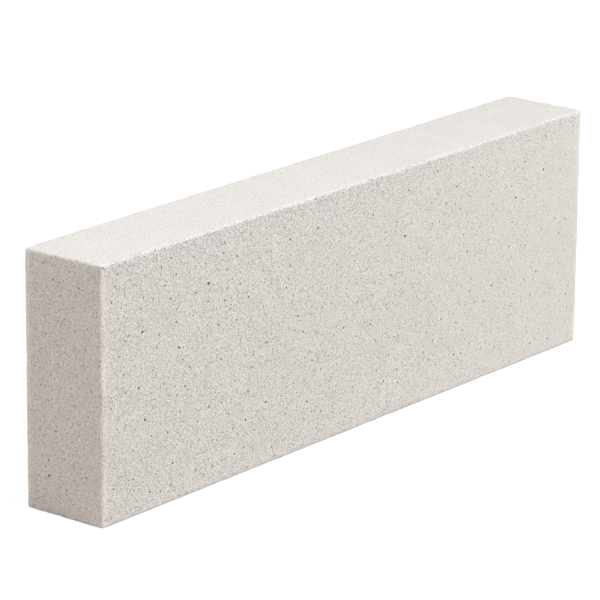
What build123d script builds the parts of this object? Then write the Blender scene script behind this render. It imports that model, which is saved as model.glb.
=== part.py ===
from build123d import *

import os

# An aerated concrete block, standing on its long narrow face as it is laid in a partition wall.
# X runs along the block, Y through its thickness and Z up its height. The origin is the middle
# of the face that it rests on. Sizes are in millimetres.

# The nominal size of a 7.5 cm partition block, laid with thin bed mortar.
LENGTH = 600.0
THICKNESS = 75.0
HEIGHT = 200.0

# The block is sawn by wires out of a green cake, so its faces are flat and its arrises start
# sharp. Handling rubs them round: the four upright ones most, the ones along the beds less.
UPRIGHT_ARRIS_RADIUS = 3.0
BED_ARRIS_RADIUS = 2.0


def plan():
    """The block seen from above: a rectangle with its four corners rubbed round."""
    with BuildSketch() as outline:
        RectangleRounded(LENGTH, THICKNESS, UPRIGHT_ARRIS_RADIUS)
    return outline.sketch


def block():
    """The plan raised to the height, with the arris round its upper and lower bed rubbed round."""
    with BuildPart() as body:
        add(plan())
        extrude(amount=HEIGHT)
        beds = body.faces().filter_by(Axis.Z)
        fillet(beds.edges(), radius=BED_ARRIS_RADIUS)
    return body.part


def main():
    """Writes the one solid that the block is."""
    os.makedirs("parts", exist_ok=True)
    export_step(block(), "parts/block.step")


main()
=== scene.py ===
import math

import bpy
import numpy as np
from bpy.props import FloatProperty
from bpy.props import FloatVectorProperty
from bpy.props import IntProperty
from bpy.props import PointerProperty
from mathutils import Matrix
from mathutils import Vector


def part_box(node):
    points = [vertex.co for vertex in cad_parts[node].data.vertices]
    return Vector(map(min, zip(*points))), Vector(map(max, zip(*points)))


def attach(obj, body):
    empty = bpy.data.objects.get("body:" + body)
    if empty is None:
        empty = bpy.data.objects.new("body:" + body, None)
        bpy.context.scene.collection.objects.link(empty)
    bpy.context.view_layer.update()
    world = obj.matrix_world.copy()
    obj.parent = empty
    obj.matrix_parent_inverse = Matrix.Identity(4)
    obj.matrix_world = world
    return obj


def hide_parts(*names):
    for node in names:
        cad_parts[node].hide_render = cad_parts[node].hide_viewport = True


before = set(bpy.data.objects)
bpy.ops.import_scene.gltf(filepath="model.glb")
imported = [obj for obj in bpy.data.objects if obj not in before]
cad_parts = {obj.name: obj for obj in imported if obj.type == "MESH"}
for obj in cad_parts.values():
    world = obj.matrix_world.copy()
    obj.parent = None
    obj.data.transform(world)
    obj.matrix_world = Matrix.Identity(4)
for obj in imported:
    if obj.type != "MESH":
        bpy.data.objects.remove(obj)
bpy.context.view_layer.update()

bl_info = {
    "name": "Aerated concrete block",
    "version": (1, 0, 0),
    "blender": (4, 5, 0),
    "location": "3D View > Sidebar > Aerated block",
    "description": "A sawn block of aerated concrete with its open pores, on a plain studio floor",
    "category": "Object",
}

MM = 0.001
BOX_LOW, BOX_HIGH = (np.array(corner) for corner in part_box("block"))
HALF_LENGTH, HALF_THICKNESS = (BOX_HIGH - BOX_LOW)[:2] / 2
HEIGHT = BOX_HIGH[2] - BOX_LOW[2]

# Blender numbers the colour sockets of a Mix node so.
COLOUR_A = 6
COLOUR_B = 7
COLOUR_OUT = 2
WHITE = (1.0, 1.0, 1.0, 1.0)

# The largest pores of the front face, by their places in millimetres: from the middle along the
# block, and above the floor. END_PORE is the one near the foot of the left end, by its place
# across the end and above the floor.
FRONT_PORES = [
    (-260, 98), (-256, 140), (-238, 135), (-239, 124), (-221, 30), (-195, 157), (-184, 96),
    (-181, 161), (-147, 175), (-133, 138), (-133, 64), (-113, 50), (-51, 174), (59, 144),
    (127, 171), (247, 160),
]
END_PORE = (14, 31)

# The lamps: direction from the block's middle, distance and width in metres.
LAMPS = {
    "softbox_above": ((0.1, -0.36, 0.93), 3.0, 1.6),
    "softbox_left": ((-0.65, -0.15, 0.75), 2.5, 1.2),
    "panel_front": ((0.26, -0.87, 0.34), 2.5, 1.2),
    "panel_behind": ((-0.5, 0.85, 0.25), 2.5, 1.2),
}

# The grid steps round a pore's middle: the ring of eight next to it, and the sixteen beyond.
RING_OF_8 = [
    (row, column)
    for row in (-1, 0, 1)
    for column in (-1, 0, 1)
    if max(abs(row), abs(column)) == 1
]
RING_OF_16 = [
    (row, column)
    for row in (-2, -1, 0, 1, 2)
    for column in (-2, -1, 0, 1, 2)
    if max(abs(row), abs(column)) == 2
]

# The rings of a large and a small pore, each with its reach as a share of the pore's radius and
# its depth as a share of the depth of the bottom. The outermost ring is the mouth.
LARGE_BOWL = [(RING_OF_8, 0.8, 0.6), (RING_OF_16, 1.0, 0.0)]
SMALL_BOWL = [(RING_OF_8, 1.0, 0.0)]

# How often a place gets a large or a small pore, and how much of that holds on the ends, the two
# large faces and the beds. The left end has more than the right: 1.5 against 0.5 times as many.
LARGE_CHANCE = 0.4
SMALL_CHANCE = 0.6
SHARE_BY_FACE = np.array([0.3, 1.0, 0.04])
SHARE_AT_LEFT = 1.5


def linear(colour):
    """A hex colour such as #D8D2CB as the linear numbers that Blender works in."""
    levels = [int(colour[place:place + 2], 16) / 255 for place in (1, 3, 5)]
    return [
        level / 12.92 if level <= 0.04045 else ((level + 0.055) / 1.055) ** 2.4
        for level in levels
    ]


class BlockShape(bpy.types.PropertyGroup):
    """Sizes of the block's sawn faces, its rubbed arrises and its pores."""

    spacing: FloatProperty(
        name="Grid spacing",
        description="Distance between the points of the skin",
        default=2 * MM,
        min=1.9 * MM,
        unit="LENGTH",
    )
    upright_arris: FloatProperty(
        name="Upright arris radius",
        description="How far the four upright arrises are rubbed round",
        default=3 * MM,
        unit="LENGTH",
    )
    bed_arris: FloatProperty(
        name="Bed arris radius",
        description="How far the arrises round the two beds are rubbed round",
        default=2 * MM,
        unit="LENGTH",
    )
    crumble: FloatProperty(
        name="Crumbled arris depth",
        description="How deep the grains that broke off the arrises were",
        default=0.9 * MM,
        unit="LENGTH",
    )
    largest_pore: FloatProperty(
        name="Largest pore width",
        description="Mean width of the mouths of the few largest pores, whose places are given",
        default=1.8 * MM,
        unit="LENGTH",
    )
    large_pore: FloatProperty(
        name="Large pore width",
        description="Mean width of the mouth of a large pore",
        default=1.43 * MM,
        unit="LENGTH",
    )
    small_pore: FloatProperty(
        name="Small pore width",
        description="Mean width of the mouth of a small pore",
        default=1.15 * MM,
        unit="LENGTH",
    )
    seed: IntProperty(
        name="Seed",
        description="Start of the random draws that place the pores and the crumbled grains",
        default=7,
    )


class BlockFinish(bpy.types.PropertyGroup):
    """Colours and cell sizes of the aerated concrete."""

    wall_colour: FloatVectorProperty(
        name="Cell wall",
        description="The pale binder between the pores",
        subtype="COLOR",
        default=linear("#E3DFDB"),
        min=0.0,
        max=1.0,
    )
    # Painted shade: the ends are darker and warmer than the wall colour, standing in for the
    # dimmer, warmer light on the ends.
    shaded_end_colour: FloatVectorProperty(
        name="Cell wall of the ends, painted shade",
        description="The binder on the two ends, a little warmer",
        subtype="COLOR",
        default=linear("#E1DAD2"),
        min=0.0,
        max=1.0,
    )
    # Painted shade in the fine pores, which have only bump.
    fine_pore_shade_colour: FloatVectorProperty(
        name="Painted fine pore shade",
        description="The shaded bottom of a fine pore",
        subtype="COLOR",
        default=linear("#625041"),
        min=0.0,
        max=1.0,
    )
    # Painted shade at the bottoms of the pinholes, the modelled pores and the hairline crack.
    deep_pore_shade_colour: FloatVectorProperty(
        name="Painted deep pore shade",
        description="The bottom of a large open pore",
        subtype="COLOR",
        default=linear("#4A4034"),
        min=0.0,
        max=1.0,
    )
    # Partly rubbed dust, partly a painted highlight where the rounded upright arrises catch the
    # light.
    rubbed_and_highlight_colour: FloatVectorProperty(
        name="Rubbed arris and painted highlight",
        description="The powdered binder on the arrises, paler and a little warmer",
        subtype="COLOR",
        default=linear("#F3EDE5"),
        min=0.0,
        max=1.0,
    )
    cell: FloatProperty(
        name="Fine pore spacing",
        description="Distance between the middles of neighbouring fine pores",
        default=0.9 * MM,
        unit="LENGTH",
    )
    grain: FloatProperty(
        name="Grain size",
        description="Width of the lighter and darker grains of the binder",
        default=0.9 * MM,
        unit="LENGTH",
    )
    pinhole_spacing: FloatProperty(
        name="Pinhole spacing",
        description="Distance between the middles of neighbouring pinholes",
        default=2.2 * MM,
        unit="LENGTH",
    )
    # Openness scales the painted shade in the fine pores and pinholes, and their bump depth. It is
    # set low on the beds because the light falls straight into their pores there, so their shade
    # is painted fainter.
    open_left: FloatProperty(
        name="Openness of the faces, left",
        description="How open the fine pores of the two large faces are at their left end",
        default=1.5,
        min=0.0,
        max=2.0,
    )
    open_right: FloatProperty(
        name="Openness of the faces, right",
        description="How open the fine pores of the two large faces are at their right end",
        default=0.68,
        min=0.0,
        max=2.0,
    )
    open_end: FloatProperty(
        name="Openness of the ends",
        description="How open the fine pores of the two ends are",
        default=1.12,
        min=0.0,
        max=2.0,
    )
    # The bed arrises take more painted pore shade than the beds, which tones down the light their
    # rounding catches.
    open_arris: FloatProperty(
        name="Openness of the bed arrises",
        description="How open the fine pores are on the arrises round the two beds",
        default=1.1,
        min=0.0,
        max=2.0,
    )
    open_bed: FloatProperty(
        name="Openness of the beds",
        description="How open the fine pores of the two beds are",
        default=0.55,
        min=0.0,
        max=2.0,
    )


class StudioSetup(bpy.types.PropertyGroup):
    """Light, floor and camera."""

    floor_colour: FloatVectorProperty(
        name="Floor",
        description="The pale floor as the block and the lamps see it",
        subtype="COLOR",
        default=linear("#CCC6C3"),
        min=0.0,
        max=1.0,
    )
    above_power: FloatProperty(
        name="Softbox above",
        description="Power of the softbox high above the front face",
        default=53.5,
        unit="POWER",
    )
    left_power: FloatProperty(
        name="Softbox on the left",
        description="Power of the softbox above the left end",
        default=20.8,
        unit="POWER",
    )
    front_power: FloatProperty(
        name="Panel in front",
        description="Power of the low panel in front of the front face",
        default=23.0,
        unit="POWER",
    )
    back_power: FloatProperty(
        name="Panel behind",
        description="Power of the low panel behind the block, which lights its far left arris",
        default=12.0,
        unit="POWER",
    )
    ambient: FloatProperty(
        name="Ambient strength",
        description="Strength of the even light from all round",
        default=0.17,
    )
    camera_distance: FloatProperty(
        name="Camera distance",
        description="From the camera to the middle of the block",
        default=3068.7 * MM,
        unit="LENGTH",
    )
    focal_length: FloatProperty(
        name="Focal length",
        description="For a sensor 36 mm wide",
        default=235.055,
        unit="CAMERA",
    )


def side_of_plan(steps, half, other_half, radius):
    """One side of a rectangle with rounded corners, from one corner's middle to that of the next.

    With u the length along the line from the side's middle and s its straight half, a point is
    at (u, other_half) while |u| < s. Past that it turns by q = (|u| - s) / radius, to
    (s + radius sin q, other_half - radius (1 - cos q)), and its normal turns by q too.
    """
    straight = half - radius
    reach = straight + radius * math.pi / 4
    u = np.linspace(-reach, reach, steps + 1)[:-1]
    turn = np.clip(np.abs(u) - straight, 0, None) / radius
    along = np.sign(u) * (np.minimum(np.abs(u), straight) + radius * np.sin(turn))
    out = other_half - radius * (1 - np.cos(turn))
    return along, out, np.sign(u) * np.sin(turn), np.cos(turn)


def plan(steps_long, steps_short, radius):
    """The block's outline seen from above, and its outward normals.

    It is four sides, each turned a quarter round the block's middle from the one before.
    """
    points = []
    normals = []
    for quarter in range(4):
        lengthwise = quarter % 2 == 0
        along, out, tilt_along, tilt_out = side_of_plan(
            steps_long if lengthwise else steps_short,
            HALF_LENGTH if lengthwise else HALF_THICKNESS,
            HALF_THICKNESS if lengthwise else HALF_LENGTH,
            radius,
        )
        angle = quarter * math.pi / 2
        ahead = np.array([math.cos(angle), math.sin(angle)])
        outward = np.array([math.sin(angle), -math.cos(angle)])
        points.append(along[:, None] * ahead + out[:, None] * outward)
        normals.append(tilt_along[:, None] * ahead + tilt_out[:, None] * outward)
    return np.concatenate(points), np.concatenate(normals)


def upright_profile(spacing, radius, arris_steps=3):
    """The block's edge line from bed to bed: how far it stands in, its height and its tilt.

    The lower arris is a quarter circle, inset radius (1 - sin a) at height radius (1 - cos a), for
    a from 0 to 90 degrees. Then comes the straight face, and the same quarter circle upside down.
    """
    turn = np.linspace(0, math.pi / 2, arris_steps + 1)
    face = np.linspace(radius, HEIGHT - radius, round((HEIGHT - 2 * radius) / spacing) + 1)[1:-1]
    inset = radius * (1 - np.sin(turn))
    rise = radius * (1 - np.cos(turn))
    insets = np.concatenate([inset, np.zeros(len(face)), inset[::-1]])
    heights = np.concatenate([rise, face, (HEIGHT - rise)[::-1]])
    tilts = np.concatenate([turn - math.pi / 2, np.zeros(len(face)), (math.pi / 2 - turn)[::-1]])
    return insets, heights, tilts


class Skin:
    """The block's outer surface: points, normals and three charts, grids of point numbers.

    The band chart is the upright profile carried round the plan. The two bed charts fill its
    upper and lower rim with a grid whose lines run on from the band's columns.
    """

    def __init__(self, shape):
        radius = shape.upright_arris
        straighter = radius * (2 - math.pi / 2)
        steps_long = round((2 * HALF_LENGTH - straighter) / shape.spacing)
        steps_short = round((2 * HALF_THICKNESS - straighter) / shape.spacing)
        outline, outward = plan(steps_long, steps_short, radius)
        insets, heights, tilts = upright_profile(shape.spacing, shape.bed_arris)

        rows = len(insets)
        columns = len(outline)
        flat = outline[None, :, :] - insets[:, None, None] * outward[None, :, :]
        lean = np.cos(tilts)[:, None, None] * outward[None, :, :]
        up = np.broadcast_to(heights[:, None, None], (rows, columns, 1))
        rise = np.broadcast_to(np.sin(tilts)[:, None, None], (rows, columns, 1))
        band = np.concatenate([flat, up], axis=2).reshape(-1, 3)
        band_normals = np.concatenate([lean, rise], axis=2).reshape(-1, 3)
        self.band = np.arange(rows * columns).reshape(rows, columns)

        across = np.arange(1, steps_long)
        deep = steps_long + np.arange(1, steps_short)
        rim = flat[0]
        inner = np.stack(np.meshgrid(rim[across, 0], rim[deep, 1]), axis=2).reshape(-1, 2)
        low = np.column_stack([inner, np.zeros(len(inner))])
        high = np.column_stack([inner, np.full(len(inner), HEIGHT)])
        down = np.broadcast_to([0.0, 0.0, -1.0], low.shape)
        size = (steps_short - 1, steps_long - 1)
        first_low = rows * columns
        first_high = first_low + len(inner)
        self.low_bed = self.bed_chart(
            self.band[0], np.arange(first_low, first_high).reshape(size))
        self.high_bed = self.bed_chart(
            self.band[-1], np.arange(first_high, first_high + len(inner)).reshape(size))
        self.points = np.concatenate([band, low, high])
        self.normals = np.concatenate([band_normals, down, -down])
        self.sunk = np.zeros(len(self.points))

    @staticmethod
    def bed_chart(rim, inner):
        """The inner grid of point numbers with the rim's numbers set round it."""
        steps_short = inner.shape[0] + 1
        steps_long = inner.shape[1] + 1
        chart = np.zeros((steps_short + 1, steps_long + 1), int)
        chart[1:-1, 1:-1] = inner
        ring = np.append(rim, rim[0])
        chart[0, :] = ring[:steps_long + 1]
        chart[:, -1] = ring[steps_long:steps_long + steps_short + 1]
        chart[-1, :] = ring[steps_long + steps_short:2 * steps_long + steps_short + 1][::-1]
        chart[:, 0] = ring[2 * steps_long + steps_short:][::-1]
        return chart

    def quads(self):
        """Every grid cell of the charts as four point numbers, anticlockwise seen from outside."""
        band = np.column_stack([self.band, self.band[:, 0]])
        cells = []
        for chart, flipped in ((band, False), (self.high_bed, False), (self.low_bed, True)):
            corners = [chart[:-1, :-1], chart[:-1, 1:], chart[1:, 1:], chart[1:, :-1]]
            if flipped:
                corners.reverse()
            cells.append(np.stack([corner.ravel() for corner in corners], axis=1))
        return np.concatenate(cells)

    def triangles(self):
        """Each cell cut in two, along the diagonal that passes through its deepest point."""
        a, b, c, d = self.quads().T
        sunk = self.sunk
        through_a = np.maximum(sunk[a], sunk[c]) >= np.maximum(sunk[b], sunk[d])
        first = np.where(through_a, [a, b, c], [a, b, d])
        second = np.where(through_a, [a, c, d], [b, c, d])
        return np.concatenate([first.T, second.T])


def soft_noise(points, cell, rng):
    """Smooth noise from 0 to 1.

    Random numbers sit on a cubic lattice of that cell. A point takes the eight round it, blended
    by 3 t t - 2 t t t in each direction, with t its place across the cell from 0 to 1.
    """
    scaled = (points - points.min(axis=0)) / cell
    corner = np.floor(scaled).astype(int)
    lattice = rng.random(corner.max(axis=0) + 2)
    t = scaled - corner
    t = t * t * (3 - 2 * t)
    total = np.zeros(len(points))
    for step in np.ndindex(2, 2, 2):
        weight = np.prod(np.where(step, t, 1 - t), axis=1)
        total += weight * lattice[tuple((corner + step).T)]
    return total


def crumble_arrises(skin, depth, rng):
    """Breaks grains off the arrises, and marks where they are broken and where rubbed.

    With e a point's distance from the nearest sharp arris and w = 1 - e / reach, a point moves
    inwards by depth times w squared times the part of two noises that is over a threshold.
    Rubbed falls evenly from 1 on an upright arris to 0 at its reach, and is 0 on the end's side
    of the two front ones. It paints the upright arrises paler: partly rubbed dust, and partly a
    painted highlight where their rounding catches the light. Broken is w squared, less the more
    the point is near an upright arris.
    """
    broken_reach = 4 * MM
    rubbed_reach = 7 * MM
    core_depth = 6 * MM
    fine_cell, fine_threshold, fine_share = 3 * MM, 0.35, 0.6
    coarse_cell, coarse_threshold, coarse_share = 9 * MM, 0.68, 2.5
    middle = np.array([0.0, 0.0, HEIGHT / 2])
    half = np.array([HALF_LENGTH, HALF_THICKNESS, HEIGHT / 2])
    from_sides = half - np.abs(skin.points - middle)
    from_arris = np.sort(from_sides, axis=1)[:, 1]
    worn = np.clip(1 - from_arris / broken_reach, 0, 1) ** 2
    upright = np.clip(1 - np.max(from_sides[:, :2], axis=1) / rubbed_reach, 0, 1)
    core = np.clip(skin.points - middle, core_depth - half, half - core_depth) + middle
    inwards = core - skin.points
    inwards /= np.linalg.norm(inwards, axis=1)[:, None]
    fine = soft_noise(skin.points, fine_cell, rng)
    coarse = soft_noise(skin.points, coarse_cell, rng)
    loss = fine_share * np.clip(fine - fine_threshold, 0, None)
    loss += coarse_share * np.clip(coarse - coarse_threshold, 0, None)
    skin.points = skin.points + inwards * (depth * worn * loss)[:, None]
    front_end = (skin.points[:, 1] < 0) * skin.normals[:, 0] ** 2
    skin.rubbed = upright * (1 - front_end)
    # Broken later gives the bed arrises their own openness: more painted pore shade than on the
    # beds.
    skin.broken = worn * (1 - upright)


def apart(shape, reach, rng):
    """Grid places that keep apart: each has the highest random number within reach steps of it."""
    chance = rng.random(shape)
    highest = chance
    for row in range(-reach, reach + 1):
        for column in range(-reach, reach + 1):
            highest = np.maximum(highest, np.roll(chance, (row, column), axis=(0, 1)))
    return chance == highest


def widened(mask, reach):
    """The mask with every grid place within reach steps of it."""
    wide = mask
    for row in range(-reach, reach + 1):
        for column in range(-reach, reach + 1):
            wide = wide | np.roll(mask, (row, column), axis=(0, 1))
    return wide


def sink(skin, chart, mask, width, spacing, rings, rng):
    """Sinks a pore at each place of the chart that the mask marks.

    The grid point there goes down to the pore's bottom, and each ring of points round it is
    drawn in to an ellipse, radius times the ring's reach, and lies at the bottom's depth times
    the ring's depth. Place, radius, ellipse and depth vary at random within the limits below.
    """
    off_centre = 0.4
    spread = 0.12
    longest = 0.5
    shallowest, deepest = 1.2, 1.8
    nearest, farthest = 0.85, 1.1
    rows, columns = np.nonzero(mask)
    count = len(rows)
    wide = chart.shape[1]
    centre = chart[rows, columns]
    old = skin.points.copy()
    normal = skin.normals[centre]
    side = old[chart[rows, (columns + 1) % wide]] - old[centre]
    side /= np.linalg.norm(side, axis=1)[:, None]
    upward = np.cross(normal, side)
    shift = rng.uniform(-off_centre, off_centre, (count, 2)) * spacing
    middle = old[centre] + shift[:, :1] * side + shift[:, 1:] * upward
    radius = 0.5 * width * rng.lognormal(0, spread, count)
    angle = rng.uniform(0, math.pi, count)
    long_way = np.cos(angle)[:, None] * side + np.sin(angle)[:, None] * upward
    stretch = rng.uniform(0.0, longest, count)
    bottom = radius * rng.uniform(shallowest, deepest, count)
    skin.points[centre] = middle - normal * bottom[:, None]
    skin.sunk[centre] = bottom
    for ring, reach, depth in rings:
        for row, column in ring:
            place = chart[rows + row, (columns + column) % wide]
            towards = old[place] - old[centre]
            towards -= np.sum(towards * normal, axis=1)[:, None] * normal
            towards /= np.linalg.norm(towards, axis=1)[:, None]
            towards += (stretch * np.sum(towards * long_way, axis=1))[:, None] * long_way
            out = radius * reach * rng.uniform(nearest, farthest, count)
            down = bottom * depth
            skin.points[place] = middle + towards * out[:, None] - normal * down[:, None]
            skin.sunk[place] = down


def at_places(skin, chart, places):
    """Marks the grid point of the chart that is nearest to each place."""
    points = skin.points[chart]
    mask = np.zeros(chart.shape, bool)
    for place in places:
        distance = np.linalg.norm(points - np.array(place), axis=2)
        mask[np.unravel_index(np.argmin(distance), chart.shape)] = True
    return mask


def sink_pores(skin, shape, rng):
    """Opens the pores that the wires cut through.

    The largest lie where the photograph shows them, and the rest at random, away from the
    arrises, the largest and each other. The distances below are in steps of the grid.
    """
    flat = 0.999
    from_arris = 3
    from_largest = 5
    from_large = 3
    large_apart = 4
    small_apart = 2
    places = [(along * MM, -HALF_THICKNESS, up * MM) for along, up in FRONT_PORES]
    places.append((-HALF_LENGTH, END_PORE[0] * MM, END_PORE[1] * MM))
    largest = at_places(skin, skin.band, places)
    sink(skin, skin.band, largest, shape.largest_pore, shape.spacing, LARGE_BOWL, rng)
    for chart in (skin.band, skin.high_bed, skin.low_bed):
        flatness = np.max(np.abs(skin.normals[chart]), axis=2)
        inside = ~widened(flatness < flat, from_arris)
        inside[:from_arris, :] = False
        inside[-from_arris:, :] = False
        along = (skin.points[chart][:, :, 0] + HALF_LENGTH) / (2 * HALF_LENGTH)
        share = skin.normals[chart] ** 2 @ SHARE_BY_FACE * (SHARE_AT_LEFT - along)
        if chart is skin.band:
            inside &= ~widened(largest, from_largest)
        large = apart(chart.shape, large_apart, rng) & inside
        large &= rng.random(chart.shape) < LARGE_CHANCE * share
        small = apart(chart.shape, small_apart, rng) & inside & ~widened(large, from_large)
        small &= rng.random(chart.shape) < SMALL_CHANCE * share
        sink(skin, chart, large, shape.large_pore, shape.spacing, LARGE_BOWL, rng)
        sink(skin, chart, small, shape.small_pore, shape.spacing, SMALL_BOWL, rng)


def add_node(tree, kind, settings=None, inputs=None):
    """Adds a node, sets its settings by name, and gives each input a value or a link."""
    node = tree.nodes.new(kind)
    for name, value in (settings or {}).items():
        setattr(node, name, value)
    for name, value in (inputs or {}).items():
        if isinstance(value, bpy.types.NodeSocket):
            tree.links.new(value, node.inputs[name])
        else:
            node.inputs[name].default_value = value
    return node


def painted_crack_shade(tree, place):
    """How far a point lies in the painted shade of a hairline crack, from 0 to 1. The mesh has no
    groove there.

    The crack is an arc of 10 mm radius on the front face, under its upper left corner. It is
    where the surface meets a shell in the shape of a flattened ball. Measured in the shell's
    half widths, it is full up to 0.01 from the shell and gone at 0.06. It fades out downwards
    between 0.7 and 0.3 above the shell's middle, and towards the arris between 0.5 and 0.35
    beside it.
    """
    middle = (-HALF_LENGTH - 4 * MM, -HALF_THICKNESS, HEIGHT - 10.3 * MM)
    half_widths = (10.5 * MM, 4 * MM, 10.5 * MM)
    strength = 0.85
    from_middle = add_node(tree, "ShaderNodeVectorMath", {"operation": "SUBTRACT"},
                           {0: place, 1: middle})
    in_shell = add_node(tree, "ShaderNodeVectorMath", {"operation": "DIVIDE"},
                        {0: from_middle.outputs[0], 1: half_widths})
    reach = add_node(tree, "ShaderNodeVectorMath", {"operation": "LENGTH"},
                     {0: in_shell.outputs[0]})
    signed = add_node(tree, "ShaderNodeMath", {"operation": "SUBTRACT"},
                      {0: reach.outputs["Value"], 1: 1.0})
    off_shell = add_node(tree, "ShaderNodeMath", {"operation": "ABSOLUTE"}, {0: signed.outputs[0]})
    line = add_node(tree, "ShaderNodeMapRange", {"interpolation_type": "SMOOTHSTEP"},
                    {"Value": off_shell.outputs[0], "From Min": 0.06, "From Max": 0.01,
                     "To Min": 0.0, "To Max": strength})
    lift = add_node(tree, "ShaderNodeSeparateXYZ", {}, {0: in_shell.outputs[0]})
    upper = add_node(tree, "ShaderNodeMapRange", {"interpolation_type": "SMOOTHSTEP"},
                     {"Value": lift.outputs["Z"], "From Min": 0.3, "From Max": 0.7,
                      "To Min": 0.0, "To Max": 1.0})
    onwards = add_node(tree, "ShaderNodeMapRange", {"interpolation_type": "SMOOTHSTEP"},
                       {"Value": lift.outputs["X"], "From Min": 0.35, "From Max": 0.5,
                        "To Min": 0.0, "To Max": 1.0})
    length = add_node(tree, "ShaderNodeMath", {"operation": "MULTIPLY"},
                      {0: upper.outputs["Result"], 1: onwards.outputs["Result"]})
    crack = add_node(tree, "ShaderNodeMath", {"operation": "MULTIPLY"},
                     {0: line.outputs["Result"], 1: length.outputs[0]})
    return crack.outputs[0]


def aerated_concrete(finish):
    """Autoclaved aerated concrete, sawn by wires while green, so that its bubbles lie open.

    The eye sees a matt, chalky, pale surface, finely speckled by the shade in its pores, with
    darker pinholes among them and a dark dot wherever the wire met a large one. That shade is
    painted into the colour: the fine pores and pinholes have only bump, and the modelled pores are
    darkened on top of their real shade. The ends take a darker, warmer painted shade, and the
    upright arrises a paler colour that is partly rubbed dust and partly a painted highlight.
    """
    fine_depth = 0.6
    pinhole_depth = 1.2
    speckle_strength = 0.18
    cloud = 35 * MM
    material = bpy.data.materials.new("aerated_concrete_wire_sawn")
    material.use_nodes = True
    tree = material.node_tree
    tree.nodes.clear()
    place = add_node(tree, "ShaderNodeTexCoord").outputs["Object"]
    pore, openness, rubbed, on_end = (
        add_node(tree, "ShaderNodeAttribute", {"attribute_name": name}).outputs["Fac"]
        for name in ("pore", "openness", "rubbed", "on_end")
    )

    # The cells are turned, so that no face of the block lies along their lattice.
    turned = add_node(tree, "ShaderNodeMapping", {},
                      {"Vector": place, "Rotation": (0.5, 0.4, 0.9)})
    cake = turned.outputs["Vector"]

    # Bubbles of the blown cake, cut open by the surface: some deep, some only grazed. They stand
    # about 0.9 mm apart, and each is up to 0.9 mm wide. They have only bump, so the shade inside
    # them is painted into the colour.
    bubbles = add_node(tree, "ShaderNodeTexVoronoi", {"feature": "F1"},
                       {"Vector": cake, "Scale": 1 / finish.cell})
    cup = add_node(tree, "ShaderNodeMapRange", {"interpolation_type": "SMOOTHSTEP"},
                   {"Value": bubbles.outputs["Distance"], "From Min": 0.5, "From Max": 0.22,
                    "To Min": 0.0, "To Max": 1.0})
    cut = add_node(tree, "ShaderNodeMapRange", {},
                   {"Value": bubbles.outputs["Color"], "From Min": 0.5, "From Max": 1.2,
                    "To Min": 0.0, "To Max": 1.0})
    hollow = add_node(tree, "ShaderNodeMath", {"operation": "MULTIPLY"},
                      {0: cup.outputs["Result"], 1: cut.outputs["Result"]})

    # The grain of the binder between them, lighter and darker by turns. Real grains are about
    # 0.1 mm wide, which is too fine to show, so they are drawn 0.9 mm wide.
    grain = add_node(tree, "ShaderNodeTexNoise", {},
                     {"Vector": cake, "Scale": 1 / finish.grain, "Detail": 0.0})
    speckle = add_node(tree, "ShaderNodeMapRange", {},
                       {"Value": grain.outputs["Fac"], "From Min": 0.25, "From Max": 0.75,
                        "To Min": -speckle_strength, "To Max": speckle_strength})
    uneven = add_node(tree, "ShaderNodeMath", {"operation": "ADD"},
                      {0: hollow.outputs[0], 1: speckle.outputs["Result"]})
    shaded = add_node(tree, "ShaderNodeMath", {"operation": "MULTIPLY"},
                      {0: uneven.outputs[0], 1: openness})

    # Pinholes up to 1 mm wide, some of them nearly closed. They have only bump, and their
    # darkness is painted shade.
    pinholes = add_node(tree, "ShaderNodeTexVoronoi", {"feature": "F1"},
                        {"Vector": cake, "Scale": 1 / finish.pinhole_spacing})
    pinhole = add_node(tree, "ShaderNodeMapRange", {"interpolation_type": "SMOOTHSTEP"},
                       {"Value": pinholes.outputs["Distance"], "From Min": 0.23, "From Max": 0.13,
                        "To Min": 0.0, "To Max": 1.0})
    opened = add_node(tree, "ShaderNodeMapRange", {},
                      {"Value": pinholes.outputs["Color"], "From Min": 0.45, "From Max": 0.85,
                       "To Min": 0.15, "To Max": 1.0})
    pricked = add_node(tree, "ShaderNodeMath", {"operation": "MULTIPLY"},
                       {0: pinhole.outputs["Result"], 1: opened.outputs["Result"]})
    pinned = add_node(tree, "ShaderNodeMath", {"operation": "MULTIPLY"},
                      {0: pricked.outputs[0], 1: openness})

    # The painted shade in a modelled pore starts a little way down its wall, on top of the real
    # shade of its bowl.
    inside = add_node(tree, "ShaderNodeMapRange", {"interpolation_type": "SMOOTHSTEP"},
                      {"Value": pore, "From Min": 0.08, "From Max": 0.4,
                       "To Min": 0.0, "To Max": 1.0})
    depth = add_node(tree, "ShaderNodeMath", {"operation": "MAXIMUM"},
                     {0: pinned.outputs[0], 1: inside.outputs["Result"]})
    pore_and_crack_shade = add_node(tree, "ShaderNodeMath", {"operation": "MAXIMUM"},
                       {0: depth.outputs[0], 1: painted_crack_shade(tree, place)})

    # The cake's mottling in clouds about 35 mm wide, a few levels either way.
    clouds = add_node(tree, "ShaderNodeTexNoise", {},
                      {"Vector": place, "Scale": 1 / cloud, "Detail": 3.0})
    mottle = add_node(tree, "ShaderNodeMapRange", {},
                      {"Value": clouds.outputs["Fac"], "From Min": 0.3, "From Max": 0.7,
                       "To Min": 0.985, "To Max": 1.015})

    # The ends are painted darker and warmer than the large faces and beds: painted shade of the
    # ends, turned away from the main lamp.
    sawn = add_node(tree, "ShaderNodeMix", {"data_type": "RGBA"},
                    {"Factor": on_end, COLOUR_A: (*finish.wall_colour, 1.0),
                     COLOUR_B: (*finish.shaded_end_colour, 1.0)})
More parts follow.
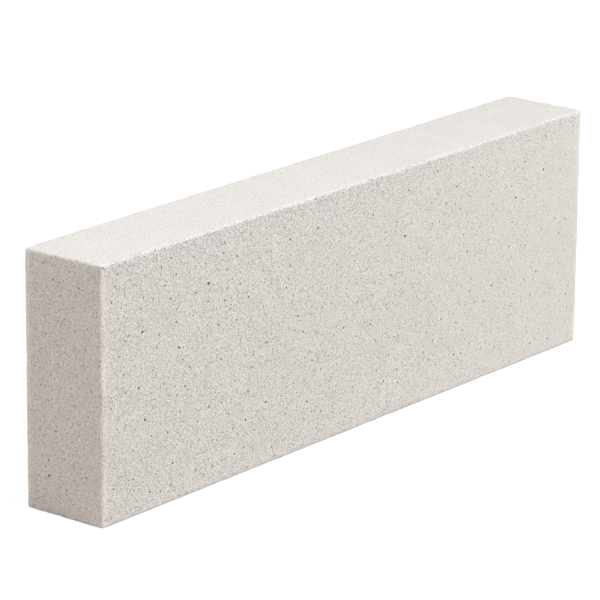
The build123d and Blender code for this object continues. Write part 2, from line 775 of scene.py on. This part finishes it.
    # The upright arrises are painted paler: partly rubbed dust, partly a painted highlight where
    # their rounding catches the light.
    wall = add_node(tree, "ShaderNodeMix", {"data_type": "RGBA"},
                    {"Factor": rubbed, COLOUR_A: sawn.outputs[COLOUR_OUT],
                     COLOUR_B: (*finish.rubbed_and_highlight_colour, 1.0)})
    # Painted shade in the fine pores, with the binder's lighter and darker grain.
    fine = add_node(tree, "ShaderNodeMix", {"data_type": "RGBA", "clamp_factor": False},
                    {"Factor": shaded.outputs[0], COLOUR_A: wall.outputs[COLOUR_OUT],
                     COLOUR_B: (*finish.fine_pore_shade_colour, 1.0)})
    toned = add_node(tree, "ShaderNodeVectorMath", {"operation": "SCALE"},
                     {0: fine.outputs[COLOUR_OUT], "Scale": mottle.outputs["Result"]})
    # Painted deep shade in the pinholes, the modelled pores and the crack.
    deep = add_node(tree, "ShaderNodeMix", {"data_type": "RGBA"},
                    {"Factor": pore_and_crack_shade.outputs[0], COLOUR_A: toned.outputs[0],
                     COLOUR_B: (*finish.deep_pore_shade_colour, 1.0)})

    # Heights in millimetres: at an openness of 1 the pinholes are up to 1.2 mm deep, and the fine
    # pores, of which the deepest are cut at 0.7 of their depth, up to 0.4 mm.
    sunk = add_node(tree, "ShaderNodeMath", {"operation": "MULTIPLY"},
                    {0: shaded.outputs[0], 1: -fine_depth})
    height = add_node(tree, "ShaderNodeMath", {"operation": "MULTIPLY_ADD"},
                      {0: pinned.outputs[0], 1: -pinhole_depth, 2: sunk.outputs[0]})
    relief = add_node(tree, "ShaderNodeBump", {},
                      {"Height": height.outputs[0], "Distance": MM, "Strength": 1.0})
    surface = add_node(tree, "ShaderNodeBsdfPrincipled", {},
                       {"Base Color": deep.outputs[COLOUR_OUT], "Roughness": 0.95,
                        "Normal": relief.outputs["Normal"]})
    add_node(tree, "ShaderNodeOutputMaterial", {}, {"Surface": surface.outputs[0]})
    return material


def painted(skin, finish, rng):
    """What the material reads at each point of the skin.

    pore is the depth that a modelled pore has there, over the depth at which its painted shade is
    full. rubbed is the skin's own, times a noise: a paler colour, partly rubbed dust and partly a
    painted highlight on the upright arrises. openness, the share of painted shade in the fine
    pores and pinholes and of their bump depth, is that of the ends, the large faces and the beds,
    by the squares of the normal; it is least on the beds, whose pores the light strikes straight
    down. On the large faces it goes from left to right with the cube of the way along, and is
    raised under the upper bed. The arrises have their own, which gives the bed arrises more
    painted shade than the beds. on_end gives the ends their darker, warmer colour, as painted
    shade.
    """
    full_painted_shade = 0.8 * MM
    patch = 20 * MM
    least_rubbed, rubbed_range = 0.3, 1.3
    raised_reach = 14 * MM
    raised_by = 0.4
    closed_by_rubbing = 0.4
    along = (skin.points[:, 0] + HALF_LENGTH) / (2 * HALF_LENGTH)
    under_bed = np.clip(1 - (HEIGHT - skin.points[:, 2]) / raised_reach, 0, 1)
    patches = soft_noise(skin.points, patch, rng)
    rubbed = np.clip(skin.rubbed * (least_rubbed + rubbed_range * patches), 0, 1)
    on_end, on_face, on_bed = (skin.normals ** 2).T
    open_face = finish.open_left + (finish.open_right - finish.open_left) * along ** 3
    open_face = open_face * (1 + raised_by * under_bed)
    by_face = on_end * finish.open_end + on_face * open_face + on_bed * finish.open_bed
    # The bed arrises lose the faces' openness and take open_arris below, a stronger painted pore
    # shade than the beds'. The rubbed upright arrises lose some painted pore shade, part of their
    # painted highlight.
    by_face = by_face * (1 - skin.broken) * (1 - closed_by_rubbing * rubbed)
    return {
        "pore": np.clip(skin.sunk / full_painted_shade, 0, 1),
        "openness": by_face + finish.open_arris * skin.broken,
        "rubbed": rubbed,
        "on_end": on_end,
    }


def make_block(shape, finish):
    """The block's skin as one closed mesh, with its pores, arrises and material."""
    rng = np.random.default_rng(shape.seed)
    skin = Skin(shape)
    crumble_arrises(skin, shape.crumble, rng)
    sink_pores(skin, shape, rng)
    mesh = bpy.data.meshes.new("aerated_block")
    mesh.from_pydata(skin.points.tolist(), [], skin.triangles().tolist())
    mesh.polygons.foreach_set("use_smooth", np.ones(len(mesh.polygons), bool))
    mesh.set_sharp_from_angle(angle=math.radians(40))
    for name, values in painted(skin, finish, rng).items():
        attribute = mesh.attributes.new(name, "FLOAT", "POINT")
        attribute.data.foreach_set("value", values.astype(np.float32))
    block = bpy.data.objects.new("aerated_block", mesh)
    bpy.context.scene.collection.objects.link(block)
    mesh.materials.append(aerated_concrete(finish))
    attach(block, "root")
    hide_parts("block")


def seen_share(tree):
    """1 for rays from the camera, a reflection or glass, and 0 for those that light something."""
    path = add_node(tree, "ShaderNodeLightPath")
    near = add_node(tree, "ShaderNodeMath", {"operation": "MAXIMUM"},
                    {0: path.outputs["Is Camera Ray"], 1: path.outputs["Is Glossy Ray"]})
    seen = add_node(tree, "ShaderNodeMath", {"operation": "MAXIMUM"},
                    {0: near.outputs[0], 1: path.outputs["Is Transmission Ray"]})
    return seen.outputs[0]


def painted_floor(setup):
    """A matt painted studio floor, which is seen nearly white, with the block's faint shadow.

    Where it is seen, its own glow rises from 0.93 to 1 between 0.8 m and 2.5 m from the block's
    foot, and a dark diffuse share on top of that takes the shadow. It lights the block as a pale
    floor.
    """
    shadow_grey = (0.12, 0.12, 0.12, 1.0)
    material = bpy.data.materials.new("studio_floor_matt_paint")
    material.use_nodes = True
    tree = material.node_tree
    tree.nodes.clear()
    own = add_node(tree, "ShaderNodeBsdfDiffuse", {}, {"Color": (*setup.floor_colour, 1.0)})
    shade = add_node(tree, "ShaderNodeBsdfDiffuse", {}, {"Color": shadow_grey})
    place = add_node(tree, "ShaderNodeTexCoord").outputs["Object"]
    away = add_node(tree, "ShaderNodeVectorMath", {"operation": "LENGTH"}, {0: place})
    near_to_far = add_node(tree, "ShaderNodeMapRange", {},
                           {"Value": away.outputs["Value"], "From Min": 0.8, "From Max": 2.5,
                            "To Min": 0.93, "To Max": 1.0})
    glow = add_node(tree, "ShaderNodeEmission", {},
                    {"Color": WHITE, "Strength": near_to_far.outputs["Result"]})
    seen = add_node(tree, "ShaderNodeAddShader", {}, {0: shade.outputs[0], 1: glow.outputs[0]})
    both = add_node(tree, "ShaderNodeMixShader", {},
                    {"Fac": seen_share(tree), 1: own.outputs[0], 2: seen.outputs[0]})
    add_node(tree, "ShaderNodeOutputMaterial", {}, {"Surface": both.outputs[0]})
    return material


def make_floor(setup):
    """A flat square floor, 24 m wide, just under the block."""
    reach = 12.0
    corners = [(-reach, -reach, 0), (reach, -reach, 0), (reach, reach, 0), (-reach, reach, 0)]
    mesh = bpy.data.meshes.new("studio_floor")
    mesh.from_pydata(corners, [], [(0, 1, 2, 3)])
    mesh.materials.append(painted_floor(setup))
    floor = bpy.data.objects.new("studio_floor", mesh)
    bpy.context.scene.collection.objects.link(floor)


def make_world(setup):
    """White where it is seen, and an even soft light from all round where it lights something."""
    world = bpy.data.worlds.new("studio")
    world.use_nodes = True
    tree = world.node_tree
    tree.nodes.clear()
    white = add_node(tree, "ShaderNodeBackground", {}, {"Color": WHITE, "Strength": 1.0})
    even = add_node(tree, "ShaderNodeBackground", {}, {"Color": WHITE, "Strength": setup.ambient})
    both = add_node(tree, "ShaderNodeMixShader", {},
                    {"Fac": seen_share(tree), 1: even.outputs[0], 2: white.outputs[0]})
    add_node(tree, "ShaderNodeOutputWorld", {}, {"Surface": both.outputs[0]})
    bpy.context.scene.world = world


def make_lamp(name, power):
    """A square area lamp that faces the middle of the block, at its place in LAMPS."""
    towards, distance, width = LAMPS[name]
    data = bpy.data.lights.new(name, "AREA")
    data.shape = "SQUARE"
    data.size = width
    data.energy = power
    out = Vector(towards).normalized()
    lamp = bpy.data.objects.new(name, data)
    lamp.location = Vector((0, 0, HEIGHT / 2)) + distance * out
    lamp.rotation_euler = out.to_track_quat("Z", "Y").to_euler()
    bpy.context.scene.collection.objects.link(lamp)


def make_camera(setup):
    """The camera of the photograph, found by fitting the block's straight edges to it."""
    azimuth = math.radians(-51.421)
    elevation = math.radians(16.914)
    roll = math.radians(0.473)
    sideways = -15.589 * MM
    upwards = -2.100 * MM
    right = Vector((math.cos(azimuth), math.sin(azimuth), 0))
    back = Vector((
        math.sin(azimuth) * math.cos(elevation),
        -math.cos(azimuth) * math.cos(elevation),
        math.sin(elevation),
    ))
    up = back.cross(right)
    right_rolled = math.cos(roll) * right + math.sin(roll) * up
    up_rolled = math.cos(roll) * up - math.sin(roll) * right
    middle = Vector((0, 0, HEIGHT / 2))
    place = middle + setup.camera_distance * back + sideways * right_rolled + upwards * up_rolled
    data = bpy.data.cameras.new("camera")
    data.sensor_width = 36.0
    data.lens = setup.focal_length
    data.clip_end = 100.0
    camera = bpy.data.objects.new("camera", data)
    turn = Matrix((right_rolled, up_rolled, back)).transposed().to_4x4()
    camera.matrix_world = Matrix.Translation(place) @ turn
    bpy.context.scene.collection.objects.link(camera)
    bpy.context.scene.camera = camera


class AERATED_OT_block(bpy.types.Operator):
    """Makes the block with its pores and rubbed arrises"""

    bl_idname = "aerated.block"
    bl_label = "Block"

    def execute(self, context):
        make_block(context.scene.block_shape, context.scene.block_finish)
        return {"FINISHED"}


class AERATED_OT_stage(bpy.types.Operator):
    """Makes the floor, the lights and the camera"""

    bl_idname = "aerated.stage"
    bl_label = "Stage"

    def execute(self, context):
        setup = context.scene.studio_setup
        context.scene.view_settings.view_transform = "Standard"
        make_floor(setup)
        make_world(setup)
        make_lamp("softbox_above", setup.above_power)
        make_lamp("softbox_left", setup.left_power)
        make_lamp("panel_front", setup.front_power)
        make_lamp("panel_behind", setup.back_power)
        make_camera(setup)
        return {"FINISHED"}


class AERATED_PT_panel(bpy.types.Panel):
    """Lists what the block and its stage are made by"""

    bl_idname = "AERATED_PT_panel"
    bl_label = "Aerated block"
    bl_space_type = "VIEW_3D"
    bl_region_type = "UI"
    bl_category = "Aerated block"

    def draw(self, context):
        scene = context.scene
        for group in (scene.block_shape, scene.block_finish, scene.studio_setup):
            box = self.layout.box()
            for name in group.__annotations__:
                box.prop(group, name)
        self.layout.operator(AERATED_OT_block.bl_idname)
        self.layout.operator(AERATED_OT_stage.bl_idname)


CLASSES = (
    BlockShape,
    BlockFinish,
    StudioSetup,
    AERATED_OT_block,
    AERATED_OT_stage,
    AERATED_PT_panel,
)


def register():
    """Registers the classes and gives the scene its three groups of settings."""
    for kind in CLASSES:
        bpy.utils.register_class(kind)
    bpy.types.Scene.block_shape = PointerProperty(type=BlockShape)
    bpy.types.Scene.block_finish = PointerProperty(type=BlockFinish)
    bpy.types.Scene.studio_setup = PointerProperty(type=StudioSetup)


def unregister():
    """Takes away what register added, in the opposite order."""
    del bpy.types.Scene.studio_setup
    del bpy.types.Scene.block_finish
    del bpy.types.Scene.block_shape
    for kind in reversed(CLASSES):
        bpy.utils.unregister_class(kind)


def main():
    """Makes the block and its stage."""
    register()
    bpy.ops.aerated.block()
    bpy.ops.aerated.stage()


if __name__ == "__main__":
    main()
